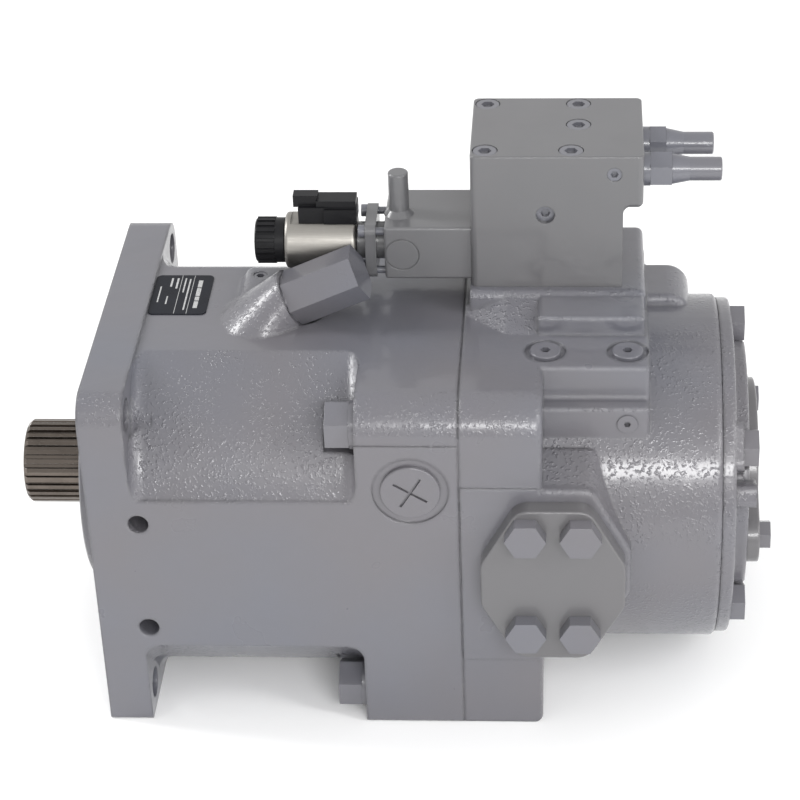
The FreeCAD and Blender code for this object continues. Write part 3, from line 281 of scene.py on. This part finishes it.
finishes = {
    "cast_paint": paint("cast_enamel", 1.0, 3.5 * MM),
    "machined_paint": paint("smooth_enamel", 0.10, 1.0 * MM, 0.34, SMOOTH_COOL, SMOOTH_WARM),
    "painted_fasteners": paint("fastener_enamel", 0.14, 0.5 * MM, 0.32),
    "name_plate_black": polymer("plate_black", (0.009, 0.010, 0.014, 1), 0.30, gloss=0.12),
    "shaft_steel": steel("oiled_steel", SHAFT_TONE, 0.20, grain=DRAWN, stain=0.6),
    "bearing_steel": steel("bearing_steel", (0.62, 0.62, 0.63, 1), 0.16, grain=GROUND),
    "spring_steel": steel("spring_steel", (0.20, 0.20, 0.22, 1), 0.34),
    "ground_steel": steel("ground_steel", (0.66, 0.66, 0.67, 1), 0.2, grain=GROUND),
    "bronze": steel("turned_bronze", (0.60, 0.40, 0.17, 1), 0.3, grain=TURNED),
    "cast_steel": steel("machined_iron", (0.33, 0.33, 0.34, 1), 0.42, metallic=0.85),
    "impeller_alloy": steel("cast_alloy", (0.62, 0.63, 0.64, 1), 0.45),
    "seal_rubber": polymer("seal_rubber", (0.022, 0.022, 0.022, 1), 0.62, grain=420.0),
    "coil_zinc": steel("coil_zinc", ZINC_TONE, 0.40, grain=ROLLED, edge=0.8 * MM, stain=0.2),
    "black_plastic": polymer("moulded_black", (0.006, 0.006, 0.007, 1), 0.34, gloss=0.22),
}

# the neck of the valve tube was sprayed together with the pump
SPRAYED = {"solenoid_tube": "machined_paint"}
slot_of = {}
for part in frame["record"]["subparts"]:
    slot_of[part["node"]] = part["material_slot"]
for name, thing in nodes.items():
    finish = finishes[SPRAYED.get(name, slot_of[name])]
    if not thing.material_slots:
        thing.data.materials.append(finish)
    for holder in thing.material_slots:
        holder.material = finish


# ---------------------------------------------------------------- springs in place of their nodes

# sides of the wire, stations per turn of a coil, stations round a disc
RING_SIDES, COIL_STEPS, DISC_STEPS = 12, 28, 72
COIL_TURNS = 5
COUNTER_WIRE, CONTROL_WIRE = 1.9 * MM, 1.0 * MM
DISC_COUNT, DISC_PITCH, DISC_THICK, DISC_CONE = 14, 4.8 * MM, 2.5 * MM, 2.2 * MM
DISC_INNER, DISC_OUTER, DISC_BREAK = 32.5 * MM, 42.0 * MM, 0.3 * MM


def skin(work, rings, closed_path):
    """Quads between neighbouring closed rings of points; an open path gets end faces."""
    loops = [[work.verts.new(point) for point in ring] for ring in rings]
    pairs = list(zip(loops, loops[1:]))
    if closed_path:
        pairs.append((loops[-1], loops[0]))
    else:
        work.faces.new(loops[0][::-1])
        work.faces.new(loops[-1])
    for first, second in pairs:
        for k in range(len(first)):
            after = (k + 1) % len(first)
            work.faces.new((first[k], first[after], second[after], second[k]))


def spring_piece(work, node):
    """Stands for the spring's node: a still mesh in the node's place, which is hidden."""
    bmesh.ops.recalc_face_normals(work, faces=work.faces)
    mesh = bpy.data.meshes.new(node + "_coils")
    work.to_mesh(mesh)
    work.free()
    for face in mesh.polygons:
        face.use_smooth = True
    mesh.materials.append(finishes["spring_steel"])
    piece = bpy.data.objects.new(node + "_coils", mesh)
    bpy.context.scene.collection.objects.link(piece)
    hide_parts(node)
    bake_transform(piece)


def coil_spring(node, wire):
    """A compression spring along X that fills the node's box; wire is the radius of its round wire."""
    low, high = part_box(node)
    middle = (low + high) / 2
    mean = (high.y - low.y) / 2 - wire
    start, end = low.x + wire, high.x - wire
    rings = []
    for step in range(COIL_TURNS * COIL_STEPS + 1):
        along = step / (COIL_TURNS * COIL_STEPS)
        angle = 2 * math.pi * COIL_TURNS * along
        outward = Vector((0.0, math.cos(angle), math.sin(angle)))
        centre = Vector((start + (end - start) * along, middle.y, middle.z)) + outward * mean
        ring = []
        for side in range(RING_SIDES):
            around = 2 * math.pi * side / RING_SIDES
            sideways = Vector((wire * math.sin(around), 0.0, 0.0))
            ring.append(centre + outward * (wire * math.cos(around)) + sideways)
        rings.append(ring)
    work = bmesh.new()
    skin(work, rings, False)
    spring_piece(work, node)


def disc_stack(node):
    """Cone disc springs along X, every second one turned round."""
    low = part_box(node)[0]
    work = bmesh.new()
    for k in range(DISC_COUNT):
        inner = low.x + k * DISC_PITCH + (DISC_CONE if k % 2 else 0.0)
        outer = low.x + k * DISC_PITCH + (0.0 if k % 2 else DISC_CONE)
        profile = (
            (inner, DISC_INNER + DISC_BREAK),
            (inner + DISC_BREAK, DISC_INNER),
            (inner + DISC_THICK - DISC_BREAK, DISC_INNER),
            (inner + DISC_THICK, DISC_INNER + DISC_BREAK),
            (outer + DISC_THICK, DISC_OUTER - DISC_BREAK),
            (outer + DISC_THICK - DISC_BREAK, DISC_OUTER),
            (outer + DISC_BREAK, DISC_OUTER),
            (outer, DISC_OUTER - DISC_BREAK),
        )
        rings = []
        for step in range(DISC_STEPS):
            angle = 2 * math.pi * step / DISC_STEPS
            rings.append([(x, radius * math.cos(angle), radius * math.sin(angle)) for x, radius in profile])
        skin(work, rings, True)
    spring_piece(work, node)


disc_stack("barrel_spring")
coil_spring("counter_spring", COUNTER_WIRE)
coil_spring("control_spring", CONTROL_WIRE)


# ---------------------------------------------------------------- generic print on the name plate

# bars as fractions of the plate: place across, lower end, upper end, width
PRINT_BARS = (
    (0.665, 0.01, 0.99, 0.010),
    (0.450, 0.01, 0.99, 0.010),
    (0.600, 0.10, 0.90, 0.028),
    (0.520, 0.55, 0.92, 0.026),
    (0.385, 0.65, 0.92, 0.034),
    (0.285, 0.70, 0.92, 0.034),
    (0.270, 0.25, 0.45, 0.024),
    (0.118, 0.30, 0.70, 0.024),
)
HEADING_AT, HEADING_WIDTH = 0.790, 0.075
HEADING_BLOCKS = ((0.15, 0.32), (0.34, 0.44), (0.46, 0.66), (0.68, 0.86))
PRINT_THICK, PRINT_EDGE = 0.06 * MM, 0.3
INK_WEAR, INK_GRAIN, INK_GRAIN_DEPTH = 900.0, 1500.0, 0.01 * MM
INK_FRESH, INK_WORN = 0.52, 0.20


def ink():
    """Pale screen-printed ink, a little worn."""
    t = Tree("screen_ink")
    worn = t.remap(t.noise(INK_WEAR, 3.0, 0.7), 0.35, 0.7)
    tone = t.mix(worn, grey(INK_FRESH), grey(INK_WORN))
    t.set(Base_Color=tone, Roughness=t.remap(worn, 0.0, 1.0, 0.35, 0.6))
    t.set(Normal=t.bump(t.noise(INK_GRAIN), INK_GRAIN_DEPTH))
    return t.material


def plate_print():
    """Bars and heading blocks in place of the plate's text."""
    low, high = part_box("name_plate")
    size = high - low
    bars = list(PRINT_BARS) + [(HEADING_AT, start, end, HEADING_WIDTH) for start, end in HEADING_BLOCKS]
    work = bmesh.new()
    for across, start, end, width in bars:
        made = bmesh.ops.create_cube(work, size=1.0)["verts"]
        bmesh.ops.scale(work, verts=made, vec=(size.x * width, size.y * (end - start), PRINT_THICK))
        middle = low.y + size.y * (start + end) / 2
        shift = (low.x + size.x * across, middle, high.z + PRINT_THICK / 2)
        bmesh.ops.translate(work, verts=made, vec=shift)
    bmesh.ops.bevel(work, geom=work.edges[:], offset=PRINT_THICK * PRINT_EDGE, segments=2, affect="EDGES")
    mesh = bpy.data.meshes.new("plate_print")
    work.to_mesh(mesh)
    work.free()
    mesh.materials.append(ink())
    piece = bpy.data.objects.new("plate_print", mesh)
    bpy.context.scene.collection.objects.link(piece)
    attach(piece, "casing")


plate_print()


# ---------------------------------------------------------------- floor, light, camera

FLOOR_HALF, FLOOR_GAP, FLOOR_CENTRE = 6.0, 0.1 * MM, (0.2, 1.0)
PAPER_DARK, PAPER_LIGHT = 0.93, 0.96
PAPER_DRIFT, PAPER_FIBRE, PAPER_RELIEF, PAPER_ROUGH = 3.0, 300.0, 0.05 * MM, 0.9


def stage_floor():
    """A wide sheet of pale paper just under the pump."""
    mesh = bpy.data.meshes.new("floor")
    work = bmesh.new()
    bmesh.ops.create_grid(work, x_segments=2, y_segments=2, size=FLOOR_HALF)
    bmesh.ops.translate(work, verts=work.verts, vec=(*FLOOR_CENTRE, cad_low.z - FLOOR_GAP))
    work.to_mesh(mesh)
    work.free()
    floor = bpy.data.objects.new("floor", mesh)
    bpy.context.scene.collection.objects.link(floor)
    t = Tree("floor_paper")
    tone = t.mix(t.remap(t.noise(PAPER_DRIFT), 0.3, 0.7), grey(PAPER_DARK), grey(PAPER_LIGHT))
    fibres = t.bump(t.noise(PAPER_FIBRE), PAPER_RELIEF)
    t.set(Base_Color=tone, Roughness=PAPER_ROUGH, Normal=fibres)
    mesh.materials.append(t.material)


LAMP_AIM = (0.2, 0.0, 0.03)
# name, place, width and height, watts
SOFTBOXES = (
    ("key", (0.80, -2.10, 1.25), (1.5, 0.42), 33.0),
    ("left", (-1.75, 0.35, 1.35), (0.5, 1.3), 32.0),
    ("right", (2.05, -0.85, 1.15), (0.4, 1.2), 16.0),
)
SKY_LEVEL = 0.88


def softbox(name, place, size, watts):
    """A rectangular soft light turned towards the pump."""
    lamp = bpy.data.lights.new(name, "AREA")
    lamp.shape = "RECTANGLE"
    lamp.size, lamp.size_y = size
    lamp.energy = watts
    thing = bpy.data.objects.new(name, lamp)
    bpy.context.scene.collection.objects.link(thing)
    thing.location = place
    thing.rotation_euler = (Vector(LAMP_AIM) - Vector(place)).to_track_quat("-Z", "Y").to_euler()


def sky(level):
    """Even white light from all round."""
    world = bpy.data.worlds.new("studio")
    bpy.context.scene.world = world
    world.use_nodes = True
    background = world.node_tree.nodes["Background"]
    background.inputs["Color"].default_value = WHITE
    background.inputs["Strength"].default_value = level


# solved from the outline, bolt centres and corners; place in metres, angles in degrees, lens in millimetres
CAMERA_PLACE = (0.3220, -1.4824, 1.0026)
CAMERA_ELEVATION = 32.599
CAMERA_AZIMUTH = 3.536
CAMERA_ROLL = -1.690
CAMERA_LENS = 112.607
CAMERA_SHIFT = -0.05
SENSOR_WIDTH = 36.0
CLIP_NEAR, CLIP_FAR = 0.05, 60.0


def camera():
    """The photograph's viewpoint: turned about Z, tipped down, then rolled about its own axis."""
    data = bpy.data.cameras.new("camera")
    data.sensor_width = SENSOR_WIDTH
    data.lens = CAMERA_LENS
    data.shift_x = CAMERA_SHIFT
    thing = bpy.data.objects.new("camera", data)
    bpy.context.scene.collection.objects.link(thing)
    thing.location = CAMERA_PLACE
    turn = Matrix.Rotation(math.radians(CAMERA_AZIMUTH), 4, "Z")
    tip = Matrix.Rotation(math.radians(90.0 - CAMERA_ELEVATION), 4, "X")
    roll = Matrix.Rotation(math.radians(CAMERA_ROLL), 4, "Z")
    thing.rotation_euler = (turn @ tip @ roll).to_euler()
    data.clip_start, data.clip_end = CLIP_NEAR, CLIP_FAR
    bpy.context.scene.camera = thing


stage_floor()
sky(SKY_LEVEL)
for lamp_settings in SOFTBOXES:
    softbox(*lamp_settings)
camera()
bpy.context.scene.view_settings.view_transform = "Standard"
